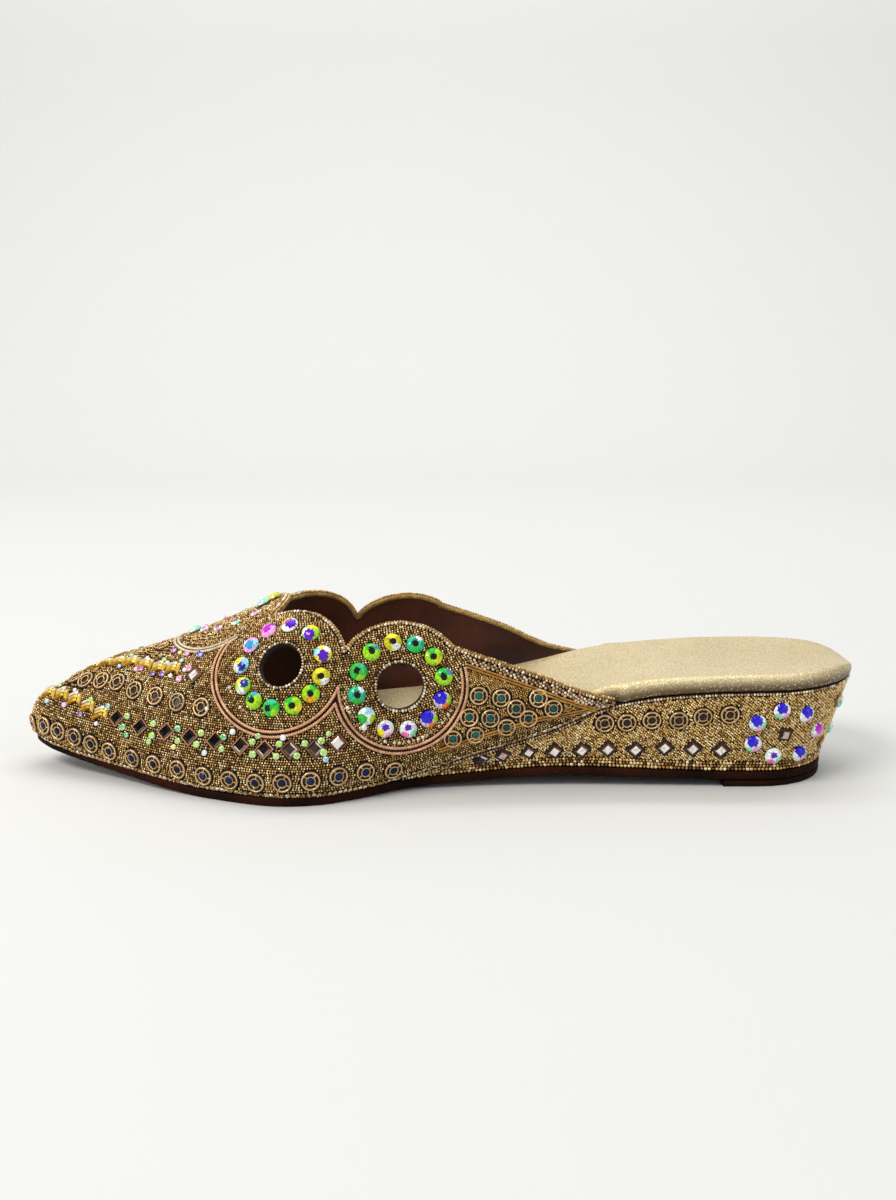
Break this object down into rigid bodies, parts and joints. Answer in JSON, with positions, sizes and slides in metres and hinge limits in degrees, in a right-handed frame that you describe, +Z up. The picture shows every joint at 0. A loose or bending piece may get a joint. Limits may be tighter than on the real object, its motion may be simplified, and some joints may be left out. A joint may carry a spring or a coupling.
{
  "type": "bridal mule",
  "caption": "Pointed-toe beaded mule, left shoe, with a scalloped petal throat, round cut-outs, a padded footbed and a low covered wedge heel.",
  "frame": {"origin": "middle of the bounding box, on the floor the shoe stands on", "axes": "toe points along -X and heel along +X, the lateral side faces -Y and the medial side +Y, +Z up"},
  "size_m": [0.2628, 0.0801, 0.0562],
  "materials": {
    "beaded_cloth": "champagne seed beads on cloth with rhinestones",
    "metallic_leather": "champagne metallic, fine grain",
    "sole": "dark brown, satin"
  },
  "bodies": {
    "root": {"upper": "beaded_cloth", "insole": "metallic_leather", "wedge": "beaded_cloth", "outsole": "sole", "heel_lift": "sole"}
  },
  "joints": []
}
